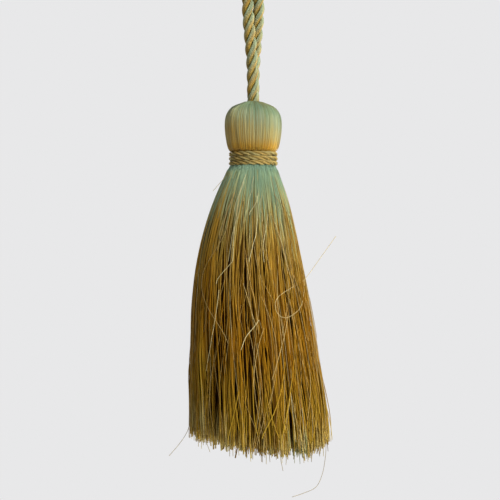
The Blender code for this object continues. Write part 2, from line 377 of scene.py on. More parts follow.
# %% Silky materials
def from_srgb(red, green, blue):
    """A colour as it is read off a screen, from 0 to 255, in Blender's linear numbers."""
    shares = [value / 255 for value in (red, green, blue)]
    linear = [v / 12.92 if v <= 0.04045 else ((v + 0.055) / 1.055) ** 2.4 for v in shares]
    return (*linear, 1)


GLOSS_TINT = (1, 0.86, 0.55, 1)  # light that shines off a thread has partly been through it


def silky_material(name, roughness, shine, thread_contrast, mottle, mottle_size):
    """A silky thread material, and the sockets of its dye colours."""
    material = bpy.data.materials.new(name)
    material.use_nodes = True
    tree = material.node_tree
    shader = tree.nodes["Principled BSDF"]
    shader.inputs["Roughness"].default_value = roughness
    shader.inputs["Specular IOR Level"].default_value = shine
    shader.inputs["Specular Tint"].default_value = GLOSS_TINT
    threads = add_node(tree, "ShaderNodeGroup", node_tree=THREAD_COLOUR)
    threads.inputs["Thread contrast"].default_value = thread_contrast
    threads.inputs["Mottle"].default_value = mottle
    threads.inputs["Mottle size"].default_value = mottle_size
    tree.links.new(threads.outputs["Colour"], shader.inputs["Base Color"])
    return material, threads


def even_dyes(threads, *colours):
    """Colours threads the same all along: dye and painted sheen, warm dye and painted shade, and,
    where it can be seen, painted shade.
    """
    for name, colour in zip(COLOUR_INPUTS, colours):
        threads.inputs[name].default_value = from_srgb(*colour)


def by_depth(tree, stops):
    """A colour ramp down the tassel: stops are (depth below the head's top, colour)."""
    place = add_node(tree, "ShaderNodeAttribute", attribute_name="dye_place")
    node = add_node(tree, "ShaderNodeValToRGB")
    ramp = node.color_ramp
    ramp.interpolation = "EASE"
    for element, (depth, colour) in zip(ramp.elements, (stops[0], stops[-1])):
        element.position = depth / HEM_DEPTH
        element.color = colour
    for depth, colour in stops[1:-1]:
        ramp.elements.new(depth / HEM_DEPTH).color = colour
    tree.links.new(place.outputs["Fac"], node.inputs["Fac"])
    return node.outputs["Color"]


print("mid grey 128 is", round(from_srgb(128, 128, 128)[0], 3), "in linear light")

# %% The yarn's colour and painted sheen, depth by depth
# golden olive is the yarn's own colour; the sage green stops on the head's top and just below the
# binding are painted sheen, where the threads face up towards the light
YARN_COLOUR_AND_SHEEN = (
    (0 * MM, from_srgb(106, 110, 72)),
    (3 * MM, from_srgb(115, 141, 116)),
    (6 * MM, from_srgb(143, 157, 130)),
    (9 * MM, from_srgb(166, 161, 117)),
    (12 * MM, from_srgb(176, 141, 51)),
    (16.5 * MM, from_srgb(111, 138, 118)),
    (20.5 * MM, from_srgb(118, 141, 115)),
    (25 * MM, from_srgb(140, 146, 107)),
    (31 * MM, from_srgb(147, 128, 65)),
    (38 * MM, from_srgb(150, 118, 41)),
    (60 * MM, from_srgb(143, 101, 14)),
    (84 * MM, from_srgb(155, 126, 38)),
    (91 * MM, from_srgb(186, 170, 104)),
)
WARMER = (  # what a thread's dye is multiplied by where it is at its warmest
    (0 * MM, (1.0, 0.85, 0.65, 1)),
    (12 * MM, (0.85, 0.68, 0.35, 1)),
    (16.5 * MM, (1.0, 0.92, 0.72, 1)),
    (26 * MM, (0.95, 0.86, 0.6, 1)),
    (38 * MM, (0.68, 0.5, 0.2, 1)),
    (91 * MM, (0.68, 0.5, 0.2, 1)),
)
# painted shade: the colour given to threads deep between others, where shade falls
PAINTED_SHADE_RAMP = (  # the colour deep between the threads
    (0 * MM, from_srgb(96, 104, 60)),
    (12 * MM, from_srgb(120, 76, 8)),
    (16.5 * MM, from_srgb(84, 104, 76)),
    (25 * MM, from_srgb(84, 66, 18)),
    (33 * MM, from_srgb(58, 26, 1)),
    (91 * MM, from_srgb(52, 23, 1)),
)
CONTRASTS = (  # how much a thread's own shade tells
    (0 * MM, 0.35),
    (12 * MM, 0.7),
    (16 * MM, 0.5),
    (26 * MM, 1.0),
    (91 * MM, 1.0),
)
print(len(YARN_COLOUR_AND_SHEEN), "colours down the yarn")

# %% The yarn's materials
YARN_MOTTLE_SIZE = 1500  # waves a metre


def dyed_yarn(name, roughness, shine, mottle, sheen):
    """The yarn's material: its colour down its length, with painted sheen and painted shade. Yarn that
    is wound tight has more sheen.
    """
    material, threads = silky_material(name, roughness, shine, 0.0, mottle, YARN_MOTTLE_SIZE)
    tree = material.node_tree
    shader = tree.nodes["Principled BSDF"]
    shader.inputs["Sheen Weight"].default_value = sheen
    shader.inputs["Sheen Roughness"].default_value = 0.35
    shader.inputs["Sheen Tint"].default_value = from_srgb(200, 220, 190)
    # the ramp holds the yarn's own colour and its painted sheen
    dye = by_depth(tree, YARN_COLOUR_AND_SHEEN)
    contrast = by_depth(tree, [(depth, (share, share, share, 1)) for depth, share in CONTRASTS])
    tree.links.new(dye, threads.inputs["Dye and painted sheen"])
    warm_dye = mixed(tree, "MULTIPLY", 1.0, dye, by_depth(tree, WARMER))
    tree.links.new(warm_dye, threads.inputs["Warm dye and painted shade"])
    tree.links.new(by_depth(tree, PAINTED_SHADE_RAMP), threads.inputs["Painted shade"])
    tree.links.new(contrast, threads.inputs["Thread contrast"])
    return material


wound_yarn = dyed_yarn("wound_yarn", roughness=0.4, shine=0.4, mottle=0.25, sheen=0.12)
loose_yarn = dyed_yarn("loose_yarn", roughness=0.42, shine=0.15, mottle=0.35, sheen=0.0)
# the pale cream of loose threads and fine hairs is painted highlight, where they catch the light
pale_yarn, pale_threads = silky_material(
    "pale_yarn", roughness=0.42, shine=0.3, thread_contrast=1.0, mottle=0.3, mottle_size=900
)
even_dyes(pale_threads, (180, 172, 130), (158, 122, 50))
print("materials:", wound_yarn.name, loose_yarn.name, pale_yarn.name)

# %% [markdown]
# ## Cords
#
# Both cords are three soft plies laid up to the right. The plies press each other flat where they
# meet, so the cord is nearly round with a valley between each pair. A texture could suggest the twist,
# but the outline of a cord is what makes it look like one, so every thread is modelled. The threads
# turn the other way inside a ply, as they must for the cord to hold its twist.

# %% A smooth route and what is carried along it
SPLINE_STEPS = 24  # between one point of a route and the next


def resampled(points, step):
    """Evenly spaced points on one smooth curve through these, and the curve's length."""
    points = np.array(points, float)
    rows = np.concatenate([[2 * points[0] - points[1]], points, [2 * points[-1] - points[-2]]])
    t = (np.arange(SPLINE_STEPS) / SPLINE_STEPS)[:, None]
    fine = []
    for a, b, c, d in zip(rows, rows[1:], rows[2:], rows[3:]):
        bend = (a - 2.5 * b + 2 * c - d / 2) * t**2 + (1.5 * (b - c) + (d - a) / 2) * t**3
        fine.append(b + (c - a) / 2 * t + bend)
    fine = np.concatenate([*fine, points[-1:]])
    travelled = np.concatenate([[0], np.cumsum(np.linalg.norm(np.diff(fine, axis=0), axis=1))])
    even = np.linspace(0, travelled[-1], max(2, round(travelled[-1] / step)) + 1)
    return np.stack([np.interp(even, travelled, fine[:, k]) for k in range(3)], -1), travelled[-1]


def carried_frame(line, start):
    """Two directions across a line, carried along it without any twist."""
    along = unit(np.gradient(line, axis=0))
    across = [unit(np.array(start) - np.dot(start, along[0]) * along[0])]
    for here in along[1:]:
        last = across[-1]
        across.append(unit(last - np.dot(last, here) * here))
    across = np.array(across)
    return across, np.cross(along, across)


_, one_metre = resampled([(0, 0, 0), (0, 0, 1)], 0.1)
print(f"a straight route of 1 m measures {one_metre:.3f} m")

# %% The plies of a laid cord
PLIES = 3
PLY_REACH = 0.26  # how far a ply's middle is from the cord's, as a share of the cord's diameter
PLY_HALF_THICKNESS = 0.24  # out from the cord's middle, likewise
COLOUR_RUN = 8 * MM  # how far a ply keeps about the same colour
LOWER_SIDE_WARMER = 0.45  # painted shade and light: how much warmer a ply's lower side is coloured than its middle, and its upper side cooler
LOWER_SIDE_MORE_SHADE = 0.14  # and how much more painted shade the lower side gets, and the upper side less
VALLEY_PAINTED_SHADE = 0.9  # how much painted shade the threads get deep between the plies
VALLEY_SHARES = (0.45, 0.95)  # of the cord's radius, where that begins to ease and where it ends
PLY_TINT_CHANGE = 0.2
THREAD_SHADES = (0.3, 0.7)
THREAD_WARMTH_SPREAD = 0.2  # either way
THREAD_UNEVENNESS = 0.08
print(f"plies reach {PLY_REACH + PLY_HALF_THICKNESS:.2f} of the cord's diameter from its middle")


# %% A laid cord, thread by thread
def laid_cord(
    name,
    route,
    step,
    diameter,
    lay,
    ply_lay,
    ply_width,
    threads_per_ply,
    thread_radius,
    ply_warmth,
):
    """A Z-laid cord along a route. Returns the piece, its centre line and its length.

    The ply's width is half of it, across the direction out from the cord's middle, as a share of the
    cord's diameter. Wider plies press their neighbours and leave shallower valleys.
    """
    line, length = resampled(route, step)
    across, beside = carried_frame(line, (0.1, -1, 0.05))
    travelled = np.linspace(0, length, len(line))
    upright = unit(np.gradient(line, axis=0))[:, 2]
    lines, shades, warmth, shaded = [], [], [], []
    for ply in range(PLIES):
        runs = math.ceil(length / COLOUR_RUN)
        ply_tint = ply_warmth[ply] + PLY_TINT_CHANGE * wander(1, len(line), runs)[0]
        turn = 2 * np.pi * (travelled / lay + ply / PLIES)
        outward = np.cos(turn)[:, None] * across + np.sin(turn)[:, None] * beside
        sideward = np.cos(turn)[:, None] * beside - np.sin(turn)[:, None] * across
        for thread in range(threads_per_ply):
            turn = 2 * np.pi * (thread / threads_per_ply - travelled / ply_lay)
            out = (PLY_HALF_THICKNESS * diameter - thread_radius) * np.cos(turn)
            out = PLY_REACH * diameter + out
            side = (ply_width * diameter - thread_radius) * np.sin(turn)
            lines.append(line + out[:, None] * outward + side[:, None] * sideward)
            shades.append(chance.uniform(*THREAD_SHADES))
            # painted shade on a ply's lower side and painted light on its upper side, as light from
            # above falls on it
            lower_side = np.sin(turn) * upright
            own_warmth = chance.uniform(-THREAD_WARMTH_SPREAD, THREAD_WARMTH_SPREAD)
            warmer = LOWER_SIDE_WARMER * lower_side + own_warmth
            warmth.append(ply_tint + warmer)
            shaded.append(LOWER_SIDE_MORE_SHADE * lower_side)
    lines = np.array(lines)
    from_middle = np.linalg.norm(lines - line, axis=-1) / (diameter / 2 - thread_radius)
    radii = thread_radius * (1 + THREAD_UNEVENNESS * wander(len(lines), len(line), 12))
    # painted shade: darker in the valleys between the plies
    painted_shade = VALLEY_PAINTED_SHADE * (1 - softly(from_middle - np.array(shaded), *VALLEY_SHARES))
    warmth = np.clip(warmth, 0, 1)
    sideways = unit(lines - line)
    piece = tubes(name, lines, radii, THREAD_SIDES, shades, warmth, painted_shade, sideways=sideways)
    return piece, line, length


print("cords are laid in", PLIES, "plies")

# %% [markdown]
# ## The hanging loop
#
# One length of cord is doubled, and both of its ends are caught in the head. At the head one leg lies
# behind the other. They turn side by side on the way up and open into a loop above the photograph's
# edge, where a hook would be. The route is the one that its simple solid follows.

# %% The loop's route
CORD_DIAMETER = 3.0 * MM
LEG_SPACING = 1.45 * MM  # the legs press on each other here, where the solids keep a little room
LOOP_RADIUS = 6.5 * MM
LOOP_CENTRE = CORD_DIAMETER / 2 - LOOP_RADIUS
LEG_ROUTE = (  # height, turn about the axis in degrees, distance from the axis
    (-61.1 * MM, 0, LEG_SPACING),
    (-56 * MM, 3, LEG_SPACING),
    (-50 * MM, 10, LEG_SPACING),
    (-44 * MM, 31, LEG_SPACING),
    (-38.5 * MM, 58, LEG_SPACING),
    (-33 * MM, 82, LEG_SPACING),
    (-27 * MM, 90, 1.75 * MM),
    (-21 * MM, 90, 3.0 * MM),
    (-15 * MM, 90, 4.7 * MM),
    (-9.5 * MM, 90, 6.1 * MM),
    (LOOP_CENTRE, 90, LOOP_RADIUS),
)
LOOP_ARC_ANGLES = (36, 72)  # degrees above level, where the arc has its points before the top


def loop_route():
    """The cord's own points: up one leg, over the top and down the other."""
    leg = []
    for height, turn, distance in LEG_ROUTE:
        angle = math.radians(turn)
        leg.append((-distance * math.sin(angle), -distance * math.cos(angle), height))
    for degrees in LOOP_ARC_ANGLES:
        angle = math.radians(degrees)
        leg.append((-LOOP_RADIUS * math.cos(angle), 0, LOOP_CENTRE + LOOP_RADIUS * math.sin(angle)))
    top = (0, 0, LOOP_CENTRE + LOOP_RADIUS)
    return [*leg, top, *((-x, -y, z) for x, y, z in reversed(leg))]


print(len(loop_route()), "points on the loop's route")

# %% The hanging loop
cord_silk, cord_threads = silky_material(
    "loop_cord", roughness=0.42, shine=0.2, thread_contrast=0.6, mottle=0.4, mottle_size=700
)
# sage and gold are the plies' own colours, which the painted light and shade of their sides shift
# between; the last is the painted shade of the valleys
even_dyes(cord_threads, (144, 157, 126), (174, 141, 73), (140, 118, 44))
loop, loop_line, loop_length = laid_cord(
    "hanging_cord",
    loop_route(),
    step=0.52 * MM,
    diameter=CORD_DIAMETER * 1.06,
    lay=10.4 * MM,
    ply_lay=12.0 * MM,
    ply_width=0.265,
    threads_per_ply=15,
    thread_radius=0.17 * MM,
    ply_warmth=(0.2, 0.45, 0.3),
)
belongs(loop, cord_silk, "loop_cord", "hanging_loop")
print(f"loop cord {loop_length / MM:.0f} mm")

# %% [markdown]
# ## The neck binding
#
# A finer cord of the same make goes three times round the folded yarn. Each turn lies level round the
# front and steps down to the next one at the back, where both ends are, as a maker would start and
# finish it out of sight.

# %% The binding's route
BINDING_CORD = 1.1 * MM
BINDING_TURNS = 3
STEP_ANGLE = 60  # degrees at the back, over which a turn steps down to the next
POINT_ANGLE = 15  # degrees between the route's points


def binding_route():
    """The middle of the wound cord, from its first end to its last."""
    pitch = (BINDING_BOTTOM_DEPTH - BINDING_TOP_DEPTH - BINDING_CORD) / (BINDING_TURNS - 1)
    radius = BINDING_RADIUS - BINDING_CORD / 2
    first = HEAD_TOP - BINDING_TOP_DEPTH - BINDING_CORD / 2
    level_angle = 360 - STEP_ANGLE
    route = []
    for turned in range(0, 360 * BINDING_TURNS - STEP_ANGLE + 1, POINT_ANGLE):
        turns, within = divmod(turned, 360)
        height = first - pitch * (turns + softly(within, level_angle, 360))
        angle = math.radians(turned - level_angle / 2)
        route.append((radius * math.sin(angle), -radius * math.cos(angle), height))
    return route


print(len(binding_route()), "points on the binding's route")

# %% The neck binding
binding_silk, binding_threads = silky_material(
    "binding_cord", roughness=0.38, shine=0.4, thread_contrast=0.5, mottle=0.3, mottle_size=700
)
# as above: sage, gold and the painted shade of the valleys
even_dyes(binding_threads, (168, 161, 110), (184, 150, 74), (118, 92, 26))
binding, _, binding_length = laid_cord(
    "neck_winding",
    binding_route(),
    step=0.3 * MM,
    diameter=BINDING_CORD * 1.14,
    lay=6.0 * MM,
    ply_lay=7.0 * MM,
    ply_width=0.245,
    threads_per_ply=7,
    thread_radius=0.085 * MM,
    ply_warmth=(0.35, 0.55, 0.7),
)
belongs(binding, binding_silk, "binding_cord", "neck_binding")
print(f"binding cord {binding_length / MM:.0f} mm")

# %% [markdown]
# ## The head
#
# The hank is laid over the cord and folded down all round, so each thread of the head starts beside
# the cord, runs over the dome and disappears under the binding. A turned form fills the inside, and
# two layers of threads lie on it, each thread a little off its neighbour's line.

# %% The head's shape
SOCKET_HALF_LENGTH = 3.5 * MM  # the slot round the cord's two legs, from front to back
SOCKET_HALF_WIDTH = 1.85 * MM  # and across
ROUND_AGAIN = 2 * MM  # how far outside the slot the threads lie in a true circle
TOP_SHARE = 0.3  # of the way down a thread, the part that lies on the head's top
HEAD_OUTLINE = (  # share of the way down a thread, depth, radius
    (0.00, 1.3 * MM, 3.3 * MM),
    (0.06, 0.3 * MM, 3.4 * MM),
    (0.12, 0.0 * MM, 3.9 * MM),
    (0.20, 0.75 * MM, 4.95 * MM),
    (0.30, 2.1 * MM, 6.35 * MM),
    (0.40, 3.6 * MM, 7.12 * MM),
    (0.52, 5.6 * MM, 7.4 * MM),
    (0.64, 7.8 * MM, 7.3 * MM),
    (0.76, 9.8 * MM, 7.02 * MM),
    (0.86, 11.4 * MM, 6.68 * MM),
    (0.93, 12.4 * MM, 6.25 * MM),
    (1.00, 13.4 * MM, 5.0 * MM),
)


def round_the_head(share, angle, inset):
    """Points on the head: share down the outline, angle round it, and inset under the surface."""
    depth = eased([row[:2] for row in HEAD_OUTLINE], share)
    radius = eased([(row[0], row[2]) for row in HEAD_OUTLINE], share) - inset
    squeeze = SOCKET_HALF_WIDTH / SOCKET_HALF_LENGTH
    rounder = softly(radius, SOCKET_HALF_LENGTH, SOCKET_HALF_LENGTH + ROUND_AGAIN)
    across = squeeze + (1 - squeeze) * rounder
    x, y = radius * np.sin(angle) * across, -radius * np.cos(angle)
    depth = depth + inset * np.clip(2 * (TOP_SHARE - share), 0, 1)  # on top, further in is lower
    return np.stack(np.broadcast_arrays(x, y, HEAD_TOP - depth), -1)


widest = max(radius for _, _, radius in HEAD_OUTLINE)
print(f"head {2 * widest / MM:.1f} mm across")

# %% The head's threads
HEAD_THREADS = 480
HEAD_POINTS = 30
HEAD_THREAD_RADIUS = 0.15 * MM
HEAD_INSET = 0.1 * MM  # of the upper layer's middle under the head's outline
HEAD_LAYER_STEP = 0.14 * MM
HEAD_UNEVENNESS = 0.025 * MM
HEAD_SPACING_SPREAD = 0.3  # either way, as a share of the space between threads of both layers
HEAD_SWAY = 0.7  # degrees that a thread wanders round the head
HEAD_DYE_SPREAD = 0.8 * MM
HEAD_GOLD_SHIFT = 2.1 * MM  # half of how much higher the gold begins on the left than on the right
HEAD_SHIFT_FADES = (6 * MM, 11.5 * MM)  # the depths between which that ends
# painted shade: the head's lower layer of threads, and their ends under the binding, are darkened as
# shade would
LOWER_LAYER_PAINTED_SHADE = 0.25
UNDER_BINDING_PAINTED_SHADE = 0.5
share = np.linspace(0, 1, HEAD_POINTS)
turns = 2 * np.arange(HEAD_THREADS) / HEAD_THREADS  # once round for each of two layers
lower_layer = (turns >= 1)[:, None]
moved = chance.uniform(-HEAD_SPACING_SPREAD, HEAD_SPACING_SPREAD, (HEAD_THREADS, 1))
angle = 2 * np.pi * (turns[:, None] + moved / HEAD_THREADS)
angle = angle + math.radians(HEAD_SWAY) * wander(HEAD_THREADS, HEAD_POINTS, 4)
inset = HEAD_INSET + HEAD_LAYER_STEP * lower_layer
inset = inset + HEAD_UNEVENNESS * wander(HEAD_THREADS, HEAD_POINTS, 3)
head_lines = round_the_head(share, angle, inset)
# on the left, away from the light, the painted sheen ends higher
goldener = HEAD_GOLD_SHIFT * (1 - np.sin(angle + 0.3))
goldener = goldener + chance.normal(0, HEAD_DYE_SPREAD, (HEAD_THREADS, 1))
goldener = goldener * (1 - softly(HEAD_TOP - head_lines[..., 2], *HEAD_SHIFT_FADES))
head = tubes(
    "head_threads",
    head_lines,
    HEAD_THREAD_RADIUS,
    THREAD_SIDES,
    chance.uniform(0, 1, HEAD_THREADS),
    chance.uniform(0, 1, (HEAD_THREADS, 1)),
    painted_shade=LOWER_LAYER_PAINTED_SHADE * lower_layer + UNDER_BINDING_PAINTED_SHADE * softly(share, 0.9, 1),
    dye_shift=goldener,
)
belongs(head, wound_yarn, "yarn", "yarn_bundle")

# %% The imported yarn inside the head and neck
FORM_INSET = 0.3 * MM
FORM_SIDES = 64
FORM_TAIL = (  # depth, radius, from under the binding to inside the skirt
    (13.6 * MM, 4.8 * MM),
    (16.4 * MM, 4.8 * MM),
    (18 * MM, 5.2 * MM),
    (20 * MM, 5.6 * MM),
)


def skin(name, rings):
    """A closed form through rings of points, each end filled."""
    rings = np.array(rings)
    count, across, _ = rings.shape
    number = np.arange(count * across).reshape(count, across)
    beside = np.roll(number, -1, axis=1)
    walls = np.stack([number[:-1], number[1:], beside[1:], beside[:-1]], -1).reshape(-1, 4)
    faces = [*walls.tolist(), number[0].tolist(), number[-1, ::-1].tolist()]
    mesh = bpy.data.meshes.new(name)
    mesh.from_pydata(rings.reshape(-1, 3).tolist(), [], faces)
    # halfway values, which give the packed yarn half the painted shade colour
    for value in ("thread_shade", "thread_warmth", "thread_painted_shade"):
        mark(mesh, value, 0.5, number.shape)
    mark(mesh, "dye_place", (HEAD_TOP - rings[..., 2]) / HEM_DEPTH, number.shape)
    mesh.shade_smooth()
    made = bpy.data.objects.new(name, mesh)
    bpy.context.scene.collection.objects.link(made)
    print(f"{name}: {len(faces)} faces")
    return made


form_angles = np.linspace(0, 2 * np.pi, FORM_SIDES + 1)[:-1]
form_rings = [round_the_head(down, form_angles, FORM_INSET) for down in share[2:]]
for depth, radius in FORM_TAIL:
    x, y = radius * np.sin(form_angles), -radius * np.cos(form_angles)
    form_rings.append(np.stack([x, y, np.full(len(x), HEAD_TOP - depth)], -1))
belongs(skin("packed_yarn", form_rings), wound_yarn, "yarn", "yarn_bundle")

# %% [markdown]
# ## The skirt
#
# Below the binding the yarn is free. Near the neck its threads lie evenly side by side. Further down
# they cling to each other in locks that draw together, part and cross, with dark gaps between. A
# hair system could comb them, but here every thread can say which lock it is in: it starts with an
# even place in the round, is given to the nearest lock and to a smaller lock inside that, and is
# drawn to both more and more on its way down. All wander a little. A dozen folds, where the skirt
# falls in between its locks, are then pressed into the whole round.

# %% The skirt's outline, lean and hem
SKIRT_OUTLINE = (  # depth, radius
    (14.5 * MM, 4.8 * MM),
    (15.9 * MM, 4.9 * MM),
    (16.6 * MM, 5.7 * MM),
    (20.2 * MM, 7.5 * MM),
    (24.2 * MM, 9.1 * MM),
    (33.7 * MM, 11.9 * MM),
    (41.0 * MM, 13.4 * MM),
    (51.4 * MM, 14.9 * MM),
    (64.4 * MM, 16.2 * MM),
    (75.0 * MM, 17.1 * MM),
    (82.5 * MM, 17.6 * MM),
    (96.0 * MM, 18.0 * MM),
)
LEAN = (  # depth, how far the skirt's middle hangs to the right there, or to the left below 0
    (14.5 * MM, 0.0 * MM),
    (24 * MM, -0.5 * MM),
    (34 * MM, -0.95 * MM),
    (41 * MM, -1.0 * MM),
    (51 * MM, -0.7 * MM),
    (64 * MM, 0.15 * MM),
    (75 * MM, 1.0 * MM),
    (84 * MM, 1.5 * MM),
    (92 * MM, 1.7 * MM),
)
HEM_LINE = (  # place across, depth of the lowest threads there
    (-18 * MM, 87.0 * MM),
    (-10 * MM, 88.2 * MM),
    (0 * MM, 89.4 * MM),
    (8 * MM, 90.3 * MM),
    (13 * MM, 90.3 * MM),
    (16 * MM, 89.4 * MM),
    (20 * MM, 87.8 * MM),
)
print(f"skirt {2 * SKIRT_OUTLINE[-1][1] / MM:.0f} mm across at the hem")

# %% Places in the round and down the skirt
GOLDEN_ANGLE = math.pi * (3 - math.sqrt(5))
HELD_IN = 0.55  # what is left of the distance by which a thread would pass the outline


def round_places(count, shares):
    """Even places in a round of radius 1, at these distances from its middle."""
    angle = np.arange(count) * GOLDEN_ANGLE
    return np.stack([shares * np.sin(angle), -shares * np.cos(angle)], -1)


def nearest(places, centres):
    """The number of the centre that each place is nearest to."""
    apart = ((places[:, None] - centres[None]) ** 2).sum(-1)
    return apart.argmin(1)


def depths_down(lengths, points, crowding=1.0):
    """Depths down each thread, from inside the neck to its own length, crowded at the top."""
    start = SKIRT_OUTLINE[0][0]
    down = np.linspace(0, 1, points) ** crowding
    return start + (lengths[:, None] - start) * down


def hang(x, y, depth):
    """Places in the round at depths, as points of the skirt, none of them far outside it."""
    far = np.hypot(x, y)
    held = np.where(far > 1, 1 + HELD_IN * (far - 1), far) / np.maximum(far, 1e-6)
    radius = eased(SKIRT_OUTLINE, depth) * held
    return np.stack([x * radius + eased(LEAN, depth), y * radius, HEAD_TOP - depth], -1)


print(f"each place is {math.degrees(GOLDEN_ANGLE):.1f} degrees round from the last one")

# %% The skirt's locks
LOCKS = 120
SMALL_LOCKS = 900
LOCK_POINTS = 30
LOCK_SCATTER = 0.045  # how far a lock is off its even place, as a share of the skirt's radius
SMALL_LOCK_SCATTER = 0.012
LOCK_DRIFT = 0.045  # how far a lock wanders on its way down, likewise
LOCK_PULLS = (0.2, 0.9)  # how firmly the loosest and the tightest lock draw their threads together
LOCK_GRIP = 0.75  # what of its pull a lock has on average, on its way down
GRIP_CHANGE = 0.35
LEAST_SWAY = 0.02  # of a small lock, as a share of the skirt's radius
MORE_SWAY = 0.06  # how much more the loosest one has
LOCK_SHADE_SPREAD = 0.13
LOCK_SHORT = 2.0 * MM  # how much shorter than the longest a lock may be
SMALL_LOCK_SHORT = 2.4 * MM  # and a small lock than its lock
GREENER_SHARE = 0.04  # of the small locks, those whose tips have stayed green
GREENER_PLACE = np.array([0.54, -0.76])  # in the round, where all of them have
GREENER_REACH = 0.13  # round that place


def drifts(threads, points, bends):
    """For each thread a smooth random drift, across and to the front or back."""
    return np.stack([wander(threads, points, bends), wander(threads, points, bends)], -1)


def repointed(curves, points):
    """The same curves, (many, points, kinds), read at another number of points."""
    at = np.linspace(0, curves.shape[1] - 1, points)
    row = np.minimum(at.astype(int), curves.shape[1] - 2)
    part = (at - row)[:, None]
    return curves[:, row] * (1 - part) + curves[:, row + 1] * part


lock_places = round_places(LOCKS, np.sqrt((np.arange(LOCKS) + 0.5) / LOCKS))
lock_places += chance.normal(0, LOCK_SCATTER, lock_places.shape)
lock_pull = chance.uniform(*LOCK_PULLS, LOCKS)
lock_shade = chance.normal(0, LOCK_SHADE_SPREAD, LOCKS)
lock_short = LOCK_SHORT * chance.uniform(0, 1, LOCKS) ** 1.5
lock_drift = LOCK_DRIFT * drifts(LOCKS, LOCK_POINTS, 3)
lock_grip = LOCK_GRIP + GRIP_CHANGE * wander(LOCKS, LOCK_POINTS, 4)[..., None]

small_places = round_places(SMALL_LOCKS, np.sqrt((np.arange(SMALL_LOCKS) + 0.5) / SMALL_LOCKS))
small_places += chance.normal(0, SMALL_LOCK_SCATTER, small_places.shape)
small_short = SMALL_LOCK_SHORT * chance.uniform(0, 1, SMALL_LOCKS) ** 2
small_sway = LEAST_SWAY + MORE_SWAY * chance.uniform(0, 1, (SMALL_LOCKS, 1, 1)) ** 2
small_drift = small_sway * drifts(SMALL_LOCKS, LOCK_POINTS, 5)
small_greener = chance.uniform(0, 1, SMALL_LOCKS) < GREENER_SHARE
small_greener |= np.linalg.norm(small_places - GREENER_PLACE, axis=1) < GREENER_REACH
print(f"{LOCKS} locks and {SMALL_LOCKS} small locks")

# %% The folds between the locks
FOLDS = (  # degrees round to the right of the front, half the width in degrees, share drawn in or out
    (-56, 8, -0.05),
    (-34, 8, 0.19),
    (-9, 6, 0.13),
    (24, 4, 0.05),
    (44, 9, -0.03),
    (66, 7, 0.1),
    (103, 6, 0.13),
    (141, 5, 0.1),
    (176, 7, 0.14),
    (218, 5, 0.1),
    (254, 6, 0.13),
    (285, 5, 0.09),
)
FOLDS_FAN_OUT = 18  # a fold at the side is this many degrees nearer the front above, and further below
FAN_OUT_DEPTHS = (48 * MM, 84 * MM)  # where above ends and where below begins
FOLD_DEPTHS = (26 * MM, 47 * MM)  # where the folds begin and where they are deepest
FLATTER = 0.6  # how much of a fold is lost towards the hem
FLATTER_DEPTHS = (72 * MM, 88 * MM)  # where that begins and ends


def folded(spot, depth):
    """Places in the round, drawn in along the folds."""
    angle = np.degrees(np.arctan2(spot[..., 0], -spot[..., 1]))
    fanned = FOLDS_FAN_OUT * (2 * softly(depth, *FAN_OUT_DEPTHS) - 1)
    inwards = 0
    for middle, half_width, farthest in FOLDS:
        away = angle - middle - fanned * math.sin(math.radians(middle))
        away = (away + 180) % 360 - 180
        inwards = inwards + farthest * np.exp(-((away / half_width) ** 2))
    inwards = inwards * softly(depth, *FOLD_DEPTHS) * (1 - FLATTER * softly(depth, *FLATTER_DEPTHS))
    return spot * (1 - inwards)[..., None]


print(len(FOLDS), "folds, the deepest", max(far for _, _, far in FOLDS), "of the radius")

# %% How long each thread is
HEM_ROUNDING = 0.9 * MM  # how much shorter the skirt is at its edge
LONGEST_BELOW_HEM = 0.9 * MM  # how far the longest threads pass the hem's line
OWN_SHORT = 2.4 * MM  # how much shorter than its small lock a thread may be
OWN_LONG = 2.6 * MM  # how much longer, which very few are
CROWDING = 1.1  # above 1, a thread's points are closer together near the neck


def thread_depths(places, lock, small, points):
    """The depths of points down threads that are each as long as their locks and chance make them."""
    across = places[:, 0] * SKIRT_OUTLINE[-1][1]
    own_short = OWN_SHORT * chance.uniform(0, 1, len(places)) ** 2
    short = lock_short[lock] + small_short[small] + own_short
    longer = OWN_LONG * chance.uniform(0, 1, len(places)) ** 7
    rounding = HEM_ROUNDING * np.hypot(*places.T) ** 3
    lengths = eased(HEM_LINE, across) + LONGEST_BELOW_HEM - rounding - short + longer
    return depths_down(lengths, points, CROWDING)


most_apart = LOCK_SHORT + SMALL_LOCK_SHORT + OWN_SHORT + OWN_LONG
print(f"threads that hang side by side differ by up to {most_apart / MM:.1f} mm")

# %% The way that a thread takes
LOOSE_DEPTHS = (17 * MM, 54 * MM)  # where threads begin to wander and where they wander freely
LOCK_DEPTHS = (18 * MM, 46 * MM)  # where a lock begins to draw its threads in, and does so fully
SMALL_LOCK_DEPTHS = (20 * MM, 50 * MM)
SMALL_LOCK_PULL = 0.62  # how much of the way a thread goes over to its small lock
SPLAY = 0.45  # how much of its hold every lock loses towards the hem
SPLAY_DEPTHS = (66 * MM, 88 * MM)  # where that begins and ends
LEAST_WANDER = 0.016  # of a thread on its own, as a share of the skirt's radius
MORE_WANDER = 0.06  # how much more the wildest one has
WILDER = 0.8  # how much that grows towards the hem
WILDER_DEPTHS = (60 * MM, 88 * MM)  # where that begins and ends
FRIZZ = 0.012  # the finest bends of a thread, as a share of the skirt's radius


